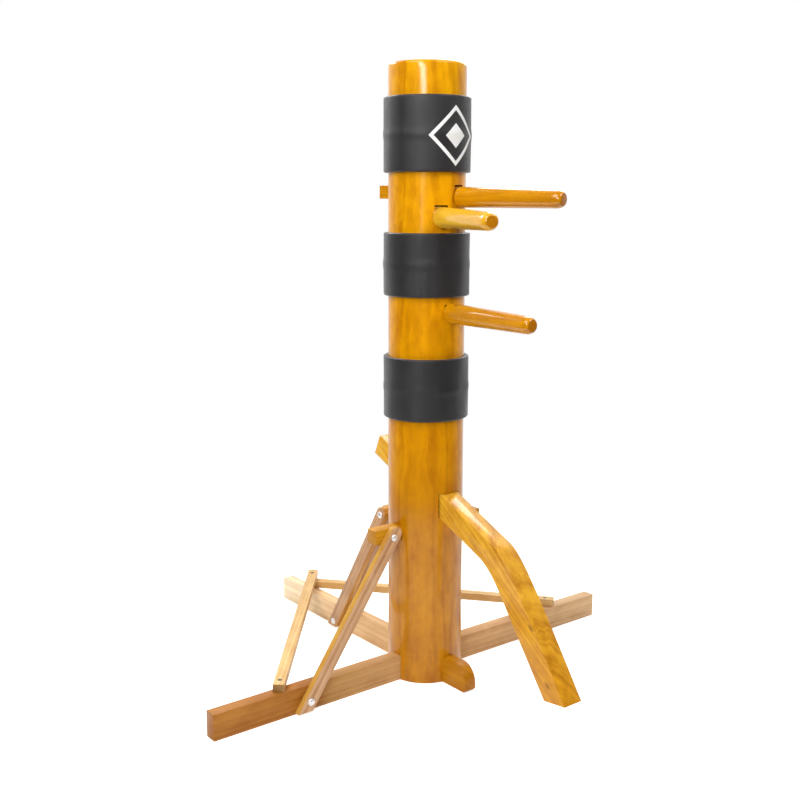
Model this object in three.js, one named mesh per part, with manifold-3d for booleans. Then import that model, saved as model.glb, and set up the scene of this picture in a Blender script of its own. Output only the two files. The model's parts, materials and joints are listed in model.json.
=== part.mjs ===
// Free-standing wooden training dummy: a round trunk in a cross base, three arms, a bent leg and three pads.
// Millimetres, +Z up. The origin is on the trunk's axis at floor level. The dummy faces -Y and the lateral
// beam lies along X, so "right" is +X and "left" is -X.

import * as THREE from 'three';
import { mergeVertices } from 'three/addons/utils/BufferGeometryUtils.js';
import Module from 'manifold-3d';

const wasm = await Module();
wasm.setup();

// ---------------------------------------------------------------- driving dimensions

const GAP = 0.3; // air between pieces that touch
const OVERSHOOT = 5; // how far a cutter stands past the face it opens

const TRUNK_RADIUS = 105;
const TRUNK_HEIGHT = 1700;
const TRUNK_EDGE_RADIUS = 9;
const TRUNK_SIDES = 64;

const BEAM_WIDTH = 38; // base beams, crossbar, rear bar and braces are sawn from one width
const BEAM_HEIGHT = 71;
const LATERAL_BEAM_REACH = 695;
const LONG_BEAM_REAR = 740;
const LONG_BEAM_FRONT = 200;
const NOSE_RADIUS = 50;
const NOSE_CHAMFER = 6; // along the lower edge of the nose

const BAR_HEIGHT = 41;
const BAR_BOTTOM = 410;
const CROSSBAR_REACH = 190;
const REAR_BAR_REACH = 180;

const BRACE_THICKNESS = 18;
const BRACE_CLEARANCE_BELOW = 5.5; // the foot of a brace stops this far above the floor
const BRACE_TOP_BOLT_Z = 428;
// A brace's bolts, by their distance out from the trunk's axis; topMargin runs from the upper bolt to the
// centre of the rounded end.
const SIDE_BRACE = { footOut: 416, footZ: 31, topOut: 139, topMargin: 12 };
const REAR_BRACE = { footOut: 414, footZ: 22, topOut: 165, topMargin: 6 };

const TIE_WIDTH = 30;
const TIE_THICKNESS = 22;
const TIE_LEFT_START = new THREE.Vector2(-499, -8); // middle of the end on the lateral beam
const TIE_RIGHT_START = new THREE.Vector2(521, -8);
const TIE_CROSSING = new THREE.Vector2(14, 611); // where the two bars cross over the long beam
const TIE_LEFT_PAST_CROSSING = 32;
const TIE_RIGHT_PAST_CROSSING = 12;
const TIE_SCREW_MARGIN = 27;
// The left tie bar climbs over the right one where they cross.
const TIE_LEFT_RUN = TIE_LEFT_START.distanceTo(TIE_CROSSING);
const TIE_LEFT_CLIMB = Math.atan((TIE_THICKNESS + 2 * GAP) / (TIE_LEFT_RUN - TIE_WIDTH));

const BOLT = { radius: 4, headRadius: 10.5, headHeight: 5, hole: 4.3, pastNut: 4 };
const WASHER = { radius: 8.5, thickness: 1.6 };
const NUT = { acrossFlats: 13, height: 6.5 };
const SCREW = { radius: 3, headRadius: 6, headHeight: 3.4, rim: 0.4, hole: 3.3 };

const ARM_BASE_RADIUS = 27.5;
const ARM_TIP_RADIUS = 23;
const ARM_TIP_ROUNDING = { along: 24, across: 10 }; // the tip is rounded off along a quarter of an ellipse
const ARM_TAIL = 150; // from the trunk's axis to the tail's end
const ARM_TENON = 36;
const ARM_SHOULDER_ROUNDING = 4.5;
const ARM_DROOP = THREE.MathUtils.degToRad(1.05); // a loose tenon lets each arm hang slightly tip down
const ARM_SIDE_PLAY = 0.8;
const ARM_SPREAD = THREE.MathUtils.degToRad(16.3);
const ARM_TWIST = THREE.MathUtils.degToRad(-1.4); // all three mortises are turned a little to the left
const UPPER_TENON_RAISE = ARM_BASE_RADIUS - ARM_TENON / 2; // upper tenons are flush with the top of the round
const UPPER = { reach: 421, raise: UPPER_TENON_RAISE };
const ARMS = [
  { name: 'arm_upper_right', height: 1351.9, turn: ARM_TWIST + ARM_SPREAD, ...UPPER },
  { name: 'arm_upper_left', height: 1299.1, turn: ARM_TWIST - ARM_SPREAD, ...UPPER },
  { name: 'arm_middle', height: 1045.3, turn: ARM_TWIST, reach: 425, raise: 0 },
];

const ARM_PEG = { radius: 5, length: 62, fromAxis: 122 };
const LEG_PEG = { radius: 6, length: 92 };

const LEG_WIDTH = 60;
const LEG_DEPTH = 61;
const LEG_SLOPE = THREE.MathUtils.degToRad(23.4);
const LEG_AXIS_HEIGHT = 555.6; // the sloping tenon's centreline crosses the trunk's axis here
const LEG_TAIL_TOP_Y = 175;
const LEG_SIDE_PLAY = 4.5;
const LEG_TOP_PLAY = 1.5;

const PADS = [
  { name: 'pad_upper', bottom: 1415, top: 1612 },
  { name: 'pad_middle', bottom: 1086, top: 1256 },
  { name: 'pad_lower', bottom: 750, top: 920 },
];
const PAD_OUTER_RADIUS = 118.5;
const PAD_INNER_RADIUS = 105.7;
const PAD_SKIN = 1.5;
const PAD_SIDES = 40;
const CLOSURE = { halfAngle: THREE.MathUtils.degToRad(13), thickness: 2.4, margin: 6 };

// ---------------------------------------------------------------- materials

const finish = (color, roughness, metalness = 0) => ({ color, roughness, metalness });
const VARNISHED_WOOD = finish(0xc98418, 0.3);
const PALE_WOOD = finish(0xc69b62, 0.55);
const PEG_WOOD = finish(0xb98a4a, 0.6);
const LEATHERETTE = finish(0x26262a, 0.45);
const FOAM = finish(0x3a3a3c, 0.95);
const ZINC = finish(0xc9c9cc, 0.3, 1);
const DARK_STEEL = finish(0x3b3733, 0.5, 1);

// ---------------------------------------------------------------- helpers

const model = new THREE.Group();

// One closed surface: vertices shared, and the empty triangles that a pole or a seam leaves taken out.
function weld(geometry) {
  const bare = geometry.clone();
  bare.deleteAttribute('normal');
  bare.deleteAttribute('uv');
  const merged = mergeVertices(bare, 1e-4);
  const kept = [];
  const index = merged.getIndex();
  for (let i = 0; i < index.count; i += 3) {
    const [a, b, c] = [index.getX(i), index.getX(i + 1), index.getX(i + 2)];
    if (a !== b && b !== c && c !== a) kept.push(a, b, c);
  }
  merged.setIndex(kept);
  return merged;
}

function solidOf(geometry) {
  const welded = weld(geometry);
  const vertProperties = new Float32Array(welded.getAttribute('position').array);
  const triVerts = new Uint32Array(welded.getIndex().array);
  return new wasm.Manifold(new wasm.Mesh({ numProp: 3, vertProperties, triVerts }));
}

function geometryOf(solid) {
  const { vertProperties, triVerts } = solid.getMesh();
  const geometry = new THREE.BufferGeometry();
  geometry.setAttribute('position', new THREE.BufferAttribute(vertProperties, 3));
  geometry.setIndex(new THREE.BufferAttribute(triVerts, 1));
  return geometry;
}

function cut(geometry, ...tools) {
  return geometryOf(tools.reduce((rest, tool) => rest.subtract(solidOf(tool)), solidOf(geometry)));
}

function join(...geometries) {
  return geometryOf(geometries.map(solidOf).reduce((whole, piece) => whole.add(piece)));
}

function add(name, geometry, look, parent = model) {
  const closed = geometry.getIndex() ? geometry : weld(geometry);
  const mesh = new THREE.Mesh(closed, new THREE.MeshStandardMaterial(look));
  mesh.name = name;
  parent.add(mesh);
  return mesh;
}

function box(x, y, z) {
  const size = [x, y, z].map(([low, high]) => high - low);
  const middle = [x, y, z].map(([low, high]) => (low + high) / 2);
  return new THREE.BoxGeometry(...size).translate(...middle);
}

const around = (half, middle = 0) => [middle - half, middle + half];

// A solid of revolution about Z; the profile lists [radius, z] counterclockwise.
function turned(profile, sides) {
  const points = profile.map(([radius, z]) => new THREE.Vector2(radius, z));
  return weld(new THREE.LatheGeometry(points, sides).rotateX(Math.PI / 2));
}

function rod(radius, low, high, sides = 16) {
  return turned([[0, low], [radius, low], [radius, high], [0, high]], sides);
}

// Points on an arc in a profile, from one angle to another in degrees.
function arc(centreX, centreY, radius, from, to, steps) {
  return Array.from({ length: steps + 1 }, (_, i) => {
    const angle = THREE.MathUtils.degToRad(from + ((to - from) * i) / steps);
    return [centreX + radius * Math.cos(angle), centreY + radius * Math.sin(angle)];
  });
}

function outline(points) {
  return new THREE.Shape(points.map(([x, y]) => new THREE.Vector2(x, y)));
}

function extruded(shape, depth, curveSegments = 12) {
  return new THREE.ExtrudeGeometry(shape, { depth, bevelEnabled: false, curveSegments });
}

// Turns an outline drawn in (y, z) and extruded upwards into a slab whose thickness lies along X.
const OUTLINE_IN_YZ = new THREE.Matrix4().makeBasis(
  new THREE.Vector3(0, 1, 0),
  new THREE.Vector3(0, 0, 1),
  new THREE.Vector3(1, 0, 0),
);

// Turns a solid whose axis is Z so that the axis points along a given direction from a given point.
function placed(geometry, from, direction) {
  const up = new THREE.Vector3(0, 0, 1);
  const turn = new THREE.Quaternion().setFromUnitVectors(up, direction.clone().normalize());
  return geometry.clone().applyQuaternion(turn).translate(from.x, from.y, from.z);
}

// ---------------------------------------------------------------- leg outline

// Side view in (y, z). The thigh is straight where it passes through the trunk; the knee is a smooth bend
// and the shin falls to a foot that hangs clear of the floor.
const legRise = Math.tan(LEG_SLOPE);
const legHalfRise = LEG_DEPTH / 2 / Math.cos(LEG_SLOPE);
const legTopZ = (y) => LEG_AXIS_HEIGHT + legHalfRise + legRise * y;
const legBottomZ = (y) => LEG_AXIS_HEIGHT - legHalfRise + legRise * y;

const KNEE_OUTER = { startY: -319, cornerY: -347, end: [-396, 374.5] };
const SHIN_FRONT = { bend: [-463, 288], end: [-583, 108] };
const KNEE_INNER = { startY: -258, cornerY: -301, end: [-345, 331] };
const SHIN_BACK_END = [-512, 99];

function legShape() {
  const tailBottomY = LEG_TAIL_TOP_Y + LEG_DEPTH * Math.sin(LEG_SLOPE);
  const shape = new THREE.Shape();
  shape.moveTo(LEG_TAIL_TOP_Y, legTopZ(LEG_TAIL_TOP_Y));
  shape.lineTo(KNEE_OUTER.startY, legTopZ(KNEE_OUTER.startY));
  shape.quadraticCurveTo(KNEE_OUTER.cornerY, legTopZ(KNEE_OUTER.cornerY), ...KNEE_OUTER.end);
  shape.quadraticCurveTo(...SHIN_FRONT.bend, ...SHIN_FRONT.end);
  shape.lineTo(...SHIN_BACK_END);
  shape.lineTo(...KNEE_INNER.end);
  const { cornerY, startY } = KNEE_INNER;
  shape.quadraticCurveTo(cornerY, legBottomZ(cornerY), startY, legBottomZ(startY));
  shape.lineTo(tailBottomY, legBottomZ(tailBottomY));
  shape.closePath();
  return shape;
}

// ---------------------------------------------------------------- trunk and its mortises

const slotHalf = BEAM_WIDTH / 2 + GAP;
const through = TRUNK_RADIUS + 20;

// The frame of one arm: +Z stays up, -Y runs out along the arm from the trunk's axis.
function armGroup(arm) {
  const group = new THREE.Group();
  group.rotation.set(ARM_DROOP, 0, arm.turn, 'ZYX');
  group.position.z = arm.height;
  return group;
}

function armMortise(arm) {
  const halfWidth = ARM_TENON / 2 + ARM_SIDE_PLAY;
  const halfHeight = ARM_TENON / 2 + TRUNK_RADIUS * Math.tan(ARM_DROOP) + GAP;
  const slot = box(around(halfWidth), around(through), around(halfHeight, arm.raise));
  return slot.rotateZ(arm.turn).translate(0, 0, arm.height);
}

function legMortise() {
  const low = -LEG_DEPTH / 2 - GAP;
  const high = LEG_DEPTH / 2 + LEG_TOP_PLAY;
  const halfLength = through / Math.cos(LEG_SLOPE) + LEG_DEPTH;
  const slot = box(around(LEG_WIDTH / 2 + LEG_SIDE_PLAY), around(halfLength), [low, high]);
  return slot.rotateX(LEG_SLOPE).translate(0, 0, LEG_AXIS_HEIGHT);
}

function addTrunk() {
  const e = TRUNK_EDGE_RADIUS;
  const edge = arc(TRUNK_RADIUS - e, TRUNK_HEIGHT - e, e, 0, 90, 5);
  const blank = turned([[0, 0], [TRUNK_RADIUS, 0], ...edge, [0, TRUNK_HEIGHT]], TRUNK_SIDES);
  const slotTop = BEAM_HEIGHT + GAP;
  const barHole = [BAR_BOTTOM - GAP, BAR_BOTTOM + BAR_HEIGHT + GAP];
  const trunk = cut(
    blank,
    box(around(through), around(slotHalf), [-OVERSHOOT, slotTop]),
    box(around(slotHalf), around(through), [-OVERSHOOT, slotTop]),
    box(around(through), around(slotHalf), barHole),
    box(around(slotHalf), [0, through], barHole),
    ...ARMS.map(armMortise),
    legMortise(),
  );
  add('trunk', trunk, VARNISHED_WOOD);
}

// ---------------------------------------------------------------- base beams and bars

// Bolts go through along Y at the sides and along X at the back.
const alongX = new THREE.Vector3(1, 0, 0);
const alongY = new THREE.Vector3(0, 1, 0);
const boltDrill = rod(BOLT.hole, -through, through);
const acrossY = (x, z) => placed(boltDrill, new THREE.Vector3(x, 0, z), alongY);
const acrossX = (y, z) => placed(boltDrill, new THREE.Vector3(0, y, z), alongX);

const tieDirection = {
  left: TIE_CROSSING.clone().sub(TIE_LEFT_START).normalize(),
  right: TIE_CROSSING.clone().sub(TIE_RIGHT_START).normalize(),
};
const fromEnd = (start, direction) => start.clone().addScaledVector(direction, TIE_SCREW_MARGIN);
const SCREWS = [
  { name: 'screw_tie_left', at: fromEnd(TIE_LEFT_START, tieDirection.left), layers: 1 },
  { name: 'screw_tie_right', at: fromEnd(TIE_RIGHT_START, tieDirection.right), layers: 1 },
  { name: 'screw_tie_rear', at: TIE_CROSSING, layers: 2 },
];
const SCREW_BITE = 32; // length of thread in the beam
const SCREW_POINT = 5; // length of the taper at a screw's tip
const SCREW_HOLE_SIDES = 12;

function screwHole({ at }) {
  const low = BEAM_HEIGHT - SCREW_BITE - 2;
  const high = BEAM_HEIGHT + 3 * TIE_THICKNESS;
  return rod(SCREW.hole, low, high, SCREW_HOLE_SIDES).translate(at.x, at.y, 0);
}

function addBase() {
  const half = BEAM_WIDTH / 2;
  const lapSplit = BEAM_HEIGHT / 2;
  const [screwLeft, screwRight, screwRear] = SCREWS.map(screwHole);

  const lateral = cut(
    box(around(LATERAL_BEAM_REACH), around(half), [0, BEAM_HEIGHT]),
    box(around(slotHalf), around(half + OVERSHOOT), [lapSplit, BEAM_HEIGHT + OVERSHOOT]),
    acrossY(-SIDE_BRACE.footOut, SIDE_BRACE.footZ),
    acrossY(SIDE_BRACE.footOut, SIDE_BRACE.footZ),
    screwLeft,
    screwRight,
  );
  add('lateral_beam', lateral, PALE_WOOD);

  const nose = arc(-LONG_BEAM_FRONT + NOSE_RADIUS, BEAM_HEIGHT - NOSE_RADIUS, NOSE_RADIUS, 90, 180, 10);
  const side = outline([
    [LONG_BEAM_REAR, 0],
    [LONG_BEAM_REAR, BEAM_HEIGHT],
    ...nose,
    [-LONG_BEAM_FRONT, NOSE_CHAMFER],
    [-LONG_BEAM_FRONT + NOSE_CHAMFER, 0],
  ]);
  const long = cut(
    extruded(side, BEAM_WIDTH).translate(0, 0, -half).applyMatrix4(OUTLINE_IN_YZ),
    box(around(half + OVERSHOOT), around(slotHalf), [-OVERSHOOT, lapSplit + GAP]),
    acrossX(REAR_BRACE.footOut, REAR_BRACE.footZ),
    screwRear,
  );
  add('long_beam', long, PALE_WOOD);

  const barZ = [BAR_BOTTOM, BAR_BOTTOM + BAR_HEIGHT];
  const crossbar = cut(
    box(around(CROSSBAR_REACH), around(half), barZ),
    acrossY(-SIDE_BRACE.topOut, BRACE_TOP_BOLT_Z),
    acrossY(SIDE_BRACE.topOut, BRACE_TOP_BOLT_Z),
  );
  add('crossbar', crossbar, VARNISHED_WOOD);
  const rearBar = cut(
    box(around(half), [half + GAP, REAR_BAR_REACH], barZ),
    acrossX(REAR_BRACE.topOut, BRACE_TOP_BOLT_Z),
  );
  add('rear_bar', rearBar, VARNISHED_WOOD);
}

// ---------------------------------------------------------------- braces

// Outline in (out, z): out runs away from the trunk, from the upper bolt to the foot.
function braceShape({ footOut, footZ, topOut, topMargin }) {
  const up = new THREE.Vector2(topOut - footOut, BRACE_TOP_BOLT_Z - footZ).normalize();
  const half = BEAM_WIDTH / 2;
  const top = new THREE.Vector2(topOut, BRACE_TOP_BOLT_Z).addScaledVector(up, topMargin);
  const foot = (side) => {
    const edge = new THREE.Vector2(footOut + side * up.y * half, footZ - side * up.x * half);
    return edge.addScaledVector(up, (BRACE_CLEARANCE_BELOW - edge.y) / up.y);
  };
  const upAngle = THREE.MathUtils.radToDeg(up.angle());
  const rounded = arc(top.x, top.y, half, upAngle - 90, upAngle + 90, 12);
  return outline([foot(-1).toArray(), foot(1).toArray(), ...rounded]);
}

function braceBlank(brace) {
  const holes = [[brace.footOut, brace.footZ], [brace.topOut, BRACE_TOP_BOLT_Z]];
  const drill = rod(BOLT.hole, -OVERSHOOT, BRACE_THICKNESS + OVERSHOOT);
  const drills = holes.map(([out, z]) => drill.clone().translate(out, z, 0));
  return cut(extruded(braceShape(brace), BRACE_THICKNESS), ...drills);
}

// Each placement sends (out, z, thickness) to the frame; thickness runs outwards from the beam's face.
function addBraces() {
  const face = BEAM_WIDTH / 2 + GAP;
  const side = braceBlank(SIDE_BRACE);
  const up = new THREE.Vector3(0, 0, 1);
  const front = alongY.clone().negate();
  const towardFront = new THREE.Matrix4().makeBasis(alongX, up, front);
  const towardLeft = new THREE.Matrix4().makeBasis(front, up, alongX.clone().negate());
  const right = side.clone().applyMatrix4(towardFront).translate(0, -face, 0);
  add('brace_right', right, PALE_WOOD);
  const mirroredSide = side.clone().translate(0, 0, -BRACE_THICKNESS).rotateY(Math.PI);
  add('brace_left', mirroredSide.applyMatrix4(towardFront).translate(0, -face, 0), PALE_WOOD);
  const rear = braceBlank(REAR_BRACE).translate(0, 0, -BRACE_THICKNESS).rotateY(Math.PI);
  rear.applyMatrix4(towardLeft);
  add('brace_rear_left', rear.clone().translate(-face, 0, 0), PALE_WOOD);
  add('brace_rear_right', rear.clone().translate(face + BRACE_THICKNESS, 0, 0), PALE_WOOD);
}

// ---------------------------------------------------------------- tie bars

function tieBar(start, direction, length, climb) {
  const bar = box([0, length], around(TIE_WIDTH / 2), [0, TIE_THICKNESS]);
  return bar.rotateY(-climb).rotateZ(direction.angle()).translate(start.x, start.y, BEAM_HEIGHT + GAP);
}

function addTieBars() {
  const rightLength = TIE_RIGHT_START.distanceTo(TIE_CROSSING) + TIE_RIGHT_PAST_CROSSING;
  const leftLength = TIE_LEFT_RUN + TIE_LEFT_PAST_CROSSING;
  const [screwLeft, screwRight, screwRear] = SCREWS.map(screwHole);
  const right = tieBar(TIE_RIGHT_START, tieDirection.right, rightLength, 0);
  const left = tieBar(TIE_LEFT_START, tieDirection.left, leftLength, TIE_LEFT_CLIMB);
  const seats = SCREWS.map(countersink);
  add('tie_bar_right', cut(right, screwRight, screwRear, seats[1]), PALE_WOOD);
  add('tie_bar_left', cut(left, screwLeft, screwRear, seats[0], seats[2]), PALE_WOOD);
}

// Height of a screw's head: flush with the bar that it holds down.
function screwTop({ at, layers }) {
  const alongLeft = at.distanceTo(TIE_LEFT_START);
  const leftTop = BEAM_HEIGHT + GAP + alongLeft * Math.tan(TIE_LEFT_CLIMB) + TIE_THICKNESS;
  return layers === 2 || at.x < 0 ? leftTop : BEAM_HEIGHT + GAP + TIE_THICKNESS;
}

function countersink(screw) {
  const top = screwTop(screw);
  const seatLow = top - SCREW.headHeight - 2 * GAP;
  const profile = [
    [0, seatLow],
    [SCREW.radius + GAP, seatLow],
    [SCREW.headRadius + GAP, top - SCREW.rim - 2 * GAP],
    [SCREW.headRadius + GAP, top + OVERSHOOT],
    [0, top + OVERSHOOT],
  ];
  return turned(profile, 16).translate(screw.at.x, screw.at.y, 0);
}

function addScrews() {
  for (const screw of SCREWS) {
    const top = screwTop(screw) - GAP;
    const profile = [
      [0, BEAM_HEIGHT - SCREW_BITE],
      [SCREW.radius, BEAM_HEIGHT - SCREW_BITE + SCREW_POINT],
      [SCREW.radius, top - SCREW.headHeight],
      [SCREW.headRadius, top - SCREW.rim],
      [SCREW.headRadius, top],
      [0, top],
    ];
    add(screw.name, turned(profile, 16).translate(screw.at.x, screw.at.y, 0), DARK_STEEL);
  }
}

// ---------------------------------------------------------------- bolts, washers and nuts

// Built along +Z from under the head, then turned to point inwards through brace and beam.
function boltSet(label, headSeat, inward, braces) {
  const grip = BEAM_WIDTH + braces * (BRACE_THICKNESS + GAP);
  const quarter = arc(0, 0, 1, 90, 0, 5);
  const dome = quarter.map(([x, y]) => [x * BOLT.headRadius, -GAP - y * BOLT.headHeight]);
  const shankEnd = grip + GAP + WASHER.thickness + NUT.height + BOLT.pastNut;
  const bolt = turned([...dome, [BOLT.radius, -GAP], [BOLT.radius, shankEnd], [0, shankEnd]], 16);
  const washerLow = grip + GAP;
  const washerHigh = washerLow + WASHER.thickness;
  const washer = turned([
    [BOLT.hole, washerLow],
    [WASHER.radius, washerLow],
    [WASHER.radius, washerHigh],
    [BOLT.hole, washerHigh],
    [BOLT.hole, washerLow],
  ], 16);
  const nutLow = washerHigh + GAP;
  const hexagon = rod(NUT.acrossFlats / Math.sqrt(3), nutLow, nutLow + NUT.height, 6);
  const nut = cut(hexagon, rod(BOLT.hole, nutLow - OVERSHOOT, nutLow + NUT.height + OVERSHOOT));
  add(`bolt_${label}`, placed(bolt, headSeat, inward), ZINC);
  add(`washer_${label}`, placed(washer, headSeat, inward), ZINC);
  add(`nut_${label}`, placed(nut, headSeat, inward), ZINC);
}

function addBolts() {
  const outerFace = BEAM_WIDTH / 2 + GAP + BRACE_THICKNESS;
  for (const [side, sign] of [['left', -1], ['right', 1]]) {
    const foot = new THREE.Vector3(sign * SIDE_BRACE.footOut, -outerFace, SIDE_BRACE.footZ);
    const top = new THREE.Vector3(sign * SIDE_BRACE.topOut, -outerFace, BRACE_TOP_BOLT_Z);
    boltSet(`${side}_foot`, foot, alongY, 1);
    boltSet(`${side}_top`, top, alongY, 1);
  }
  const rearFoot = new THREE.Vector3(-outerFace, REAR_BRACE.footOut, REAR_BRACE.footZ);
  const rearTop = new THREE.Vector3(-outerFace, REAR_BRACE.topOut, BRACE_TOP_BOLT_Z);
  boltSet('rear_foot', rearFoot, alongX, 2);
  boltSet('rear_top', rearTop, alongX, 2);
}

// ---------------------------------------------------------------- arms

function armProfile(arm, shoulder) {
  const { along, across } = ARM_TIP_ROUNDING;
  const quarter = arc(0, 0, 1, 0, 90, 7);
  const tip = quarter.map(([x, y]) => [ARM_TIP_RADIUS - across * (1 - x), arm.reach - along * (1 - y)]);
  const corner = arc(
    ARM_BASE_RADIUS - ARM_SHOULDER_ROUNDING,
    shoulder + ARM_SHOULDER_ROUNDING,
    ARM_SHOULDER_ROUNDING,
    -90,
    0,
    3,
  );
  return [[0, shoulder], ...corner, ...tip, [0, arm.reach]];
}

function addArms() {
  // The shoulder leans against the trunk at its lower edge, because of the droop.
  const shoulder = TRUNK_RADIUS + 2 * GAP + ARM_BASE_RADIUS * Math.sin(ARM_DROOP);
  const tenonHalf = ARM_TENON / 2;
  for (const arm of ARMS) {
    const group = armGroup(arm);
    const round = turned(armProfile(arm, shoulder), 24).rotateX(Math.PI / 2);
    const tenon = box(around(tenonHalf), [-shoulder - 1, ARM_TAIL], around(tenonHalf, arm.raise));
    const pegAt = new THREE.Vector3(0, ARM_PEG.fromAxis, arm.raise);
    const pegHole = rod(ARM_PEG.radius + GAP, -ARM_TENON, ARM_TENON).translate(...pegAt);
    const wood = cut(join(round, trimmedTenon(tenon, shoulder)), pegHole);
    add(arm.name, wood, VARNISHED_WOOD, group);
    const peg = rod(ARM_PEG.radius, -ARM_PEG.length / 2, ARM_PEG.length / 2).translate(...pegAt);
    add(arm.name.replace('arm', 'peg_arm'), peg, PEG_WOOD, group);
    model.add(group);
  }
}

// The tenon's square corners stand past the round, so they end just inside the trunk's face.
function trimmedTenon(tenon, shoulder) {
  const inside = rod(TRUNK_RADIUS - 3, -TRUNK_RADIUS, TRUNK_RADIUS, 32);
  const tail = box(around(TRUNK_RADIUS), [0, ARM_TAIL + OVERSHOOT], around(TRUNK_RADIUS));
  const coreRadius = ARM_BASE_RADIUS - ARM_SHOULDER_ROUNDING;
  const core = rod(coreRadius, 0, shoulder + 1, 24).rotateX(Math.PI / 2);
  const square = solidOf(tenon);
  const kept = square.intersect(solidOf(inside).add(solidOf(tail)).add(solidOf(core)));
  return geometryOf(kept);
}

// ---------------------------------------------------------------- leg

function addLeg() {
  const half = LEG_WIDTH / 2;
  const blank = extruded(legShape(), LEG_WIDTH, 10).translate(0, 0, -half).applyMatrix4(OUTLINE_IN_YZ);
  // The peg bears on the trunk beside the mortise.
  const bearing = Math.sqrt(TRUNK_RADIUS ** 2 - (half + LEG_SIDE_PLAY) ** 2);
  const pegY = bearing + LEG_PEG.radius + 2 * GAP;
  const pegAt = new THREE.Vector3(0, pegY, LEG_AXIS_HEIGHT + legRise * pegY);
  const hole = placed(rod(LEG_PEG.radius + GAP, -LEG_WIDTH, LEG_WIDTH), pegAt, alongX);
  const peg = rod(LEG_PEG.radius, -LEG_PEG.length / 2, LEG_PEG.length / 2);
  add('leg', cut(blank, hole), VARNISHED_WOOD);
  add('peg_leg', placed(peg, pegAt, alongX), PEG_WOOD);
}

// ---------------------------------------------------------------- pads

function addPads() {
  for (const pad of PADS) {
    const { bottom, top } = pad;
    const skinIn = PAD_OUTER_RADIUS - PAD_SKIN;
    const lip = PAD_INNER_RADIUS + 1;
    const cover = [
      [skinIn, bottom + PAD_SKIN],
      [lip, bottom + PAD_SKIN],
      [lip, bottom],
      [PAD_OUTER_RADIUS, bottom],
      [PAD_OUTER_RADIUS, top],
      [lip, top],
      [lip, top - PAD_SKIN],
      [skinIn, top - PAD_SKIN],
      [skinIn, bottom + PAD_SKIN],
    ];
    const foamLow = bottom + PAD_SKIN + GAP;
    const foamHigh = top - PAD_SKIN - GAP;
    const foam = [
      [PAD_INNER_RADIUS, foamLow],
      [skinIn - GAP, foamLow],
      [skinIn - GAP, foamHigh],
      [PAD_INNER_RADIUS, foamHigh],
      [PAD_INNER_RADIUS, foamLow],
    ];
    add(`${pad.name}_cover`, turned(cover, PAD_SIDES), LEATHERETTE);
    add(`${pad.name}_foam`, turned(foam, PAD_SIDES), FOAM);
    add(`${pad.name}_closure`, closureStrip(bottom + CLOSURE.margin, top - CLOSURE.margin), LEATHERETTE);
  }
}

// A curved strip over the pad's seam, at the back of the trunk.
function closureStrip(low, high) {
  const degrees = THREE.MathUtils.radToDeg(CLOSURE.halfAngle);
  const inner = PAD_OUTER_RADIUS + 2 * GAP;
  const outer = inner + CLOSURE.thickness;
  const strip = outline([
    ...arc(0, 0, outer, 90 - degrees, 90 + degrees, 8),
    ...arc(0, 0, inner, 90 + degrees, 90 - degrees, 8),
  ]);
  return extruded(strip, high - low).translate(0, 0, low);
}

// ---------------------------------------------------------------- assembly

addTrunk();
addBase();
addBraces();
addTieBars();
addScrews();
addBolts();
addArms();
addLeg();
addPads();

export default model;
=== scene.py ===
"""The looks of a free-standing wooden training dummy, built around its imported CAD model.

Metres, in the frame of the CAD model: the origin is on the trunk's axis at floor level, +Z is up, and the
dummy faces -Y. Beams, bars, braces, the leg, nuts, washers and screws are CAD nodes with softened edges and
materials of their own; the trunk, arms, pegs, bolts and pads are pieces built here in place of their CAD nodes.
"""

import json
import math

import bmesh
import bpy
from mathutils import Matrix, Vector, noise


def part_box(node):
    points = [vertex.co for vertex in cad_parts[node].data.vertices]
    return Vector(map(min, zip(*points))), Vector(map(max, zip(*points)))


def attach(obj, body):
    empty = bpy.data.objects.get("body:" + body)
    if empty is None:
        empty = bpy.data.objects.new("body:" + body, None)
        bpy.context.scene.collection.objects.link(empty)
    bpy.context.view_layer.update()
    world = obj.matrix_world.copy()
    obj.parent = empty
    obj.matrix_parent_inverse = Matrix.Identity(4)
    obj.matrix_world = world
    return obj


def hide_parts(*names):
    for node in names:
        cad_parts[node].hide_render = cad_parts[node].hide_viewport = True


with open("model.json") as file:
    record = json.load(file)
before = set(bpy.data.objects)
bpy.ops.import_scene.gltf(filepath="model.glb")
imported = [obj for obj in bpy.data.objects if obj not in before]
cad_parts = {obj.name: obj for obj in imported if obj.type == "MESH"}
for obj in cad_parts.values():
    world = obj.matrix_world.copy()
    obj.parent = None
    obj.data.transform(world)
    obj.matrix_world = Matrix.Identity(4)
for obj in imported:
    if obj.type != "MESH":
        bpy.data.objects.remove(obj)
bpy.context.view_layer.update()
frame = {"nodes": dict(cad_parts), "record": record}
NODES = frame["nodes"]
BODY_OF = {node: body for body, nodes in frame["record"]["behaviour"]["bodies"].items() for node in nodes}
UP = Vector((0, 0, 1))
HAIR = 0.0003  # the CAD model's gap between pieces that touch

# ---------------------------------------------------------------- camera

CAMERA_AZIMUTH = math.radians(-39.23)
CAMERA_DISTANCE = 2.998  # from the trunk's axis, along the floor
CAMERA_HEIGHT = 1.336
CAMERA_AIM = math.radians(0.818)  # how far the camera looks past the axis
CAMERA_PITCH = math.radians(-9.305)
CAMERA_ROLL = math.radians(0.155)
CAMERA_LENS = 49.09
CAMERA_SHIFT = (-0.0133, -0.0236)


def toward(azimuth, distance, height):
    """A point at an azimuth round the trunk: 0 is in front, at -Y, and positive turns toward +X."""
    return Vector((math.sin(azimuth) * distance, -math.cos(azimuth) * distance, height))


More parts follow.
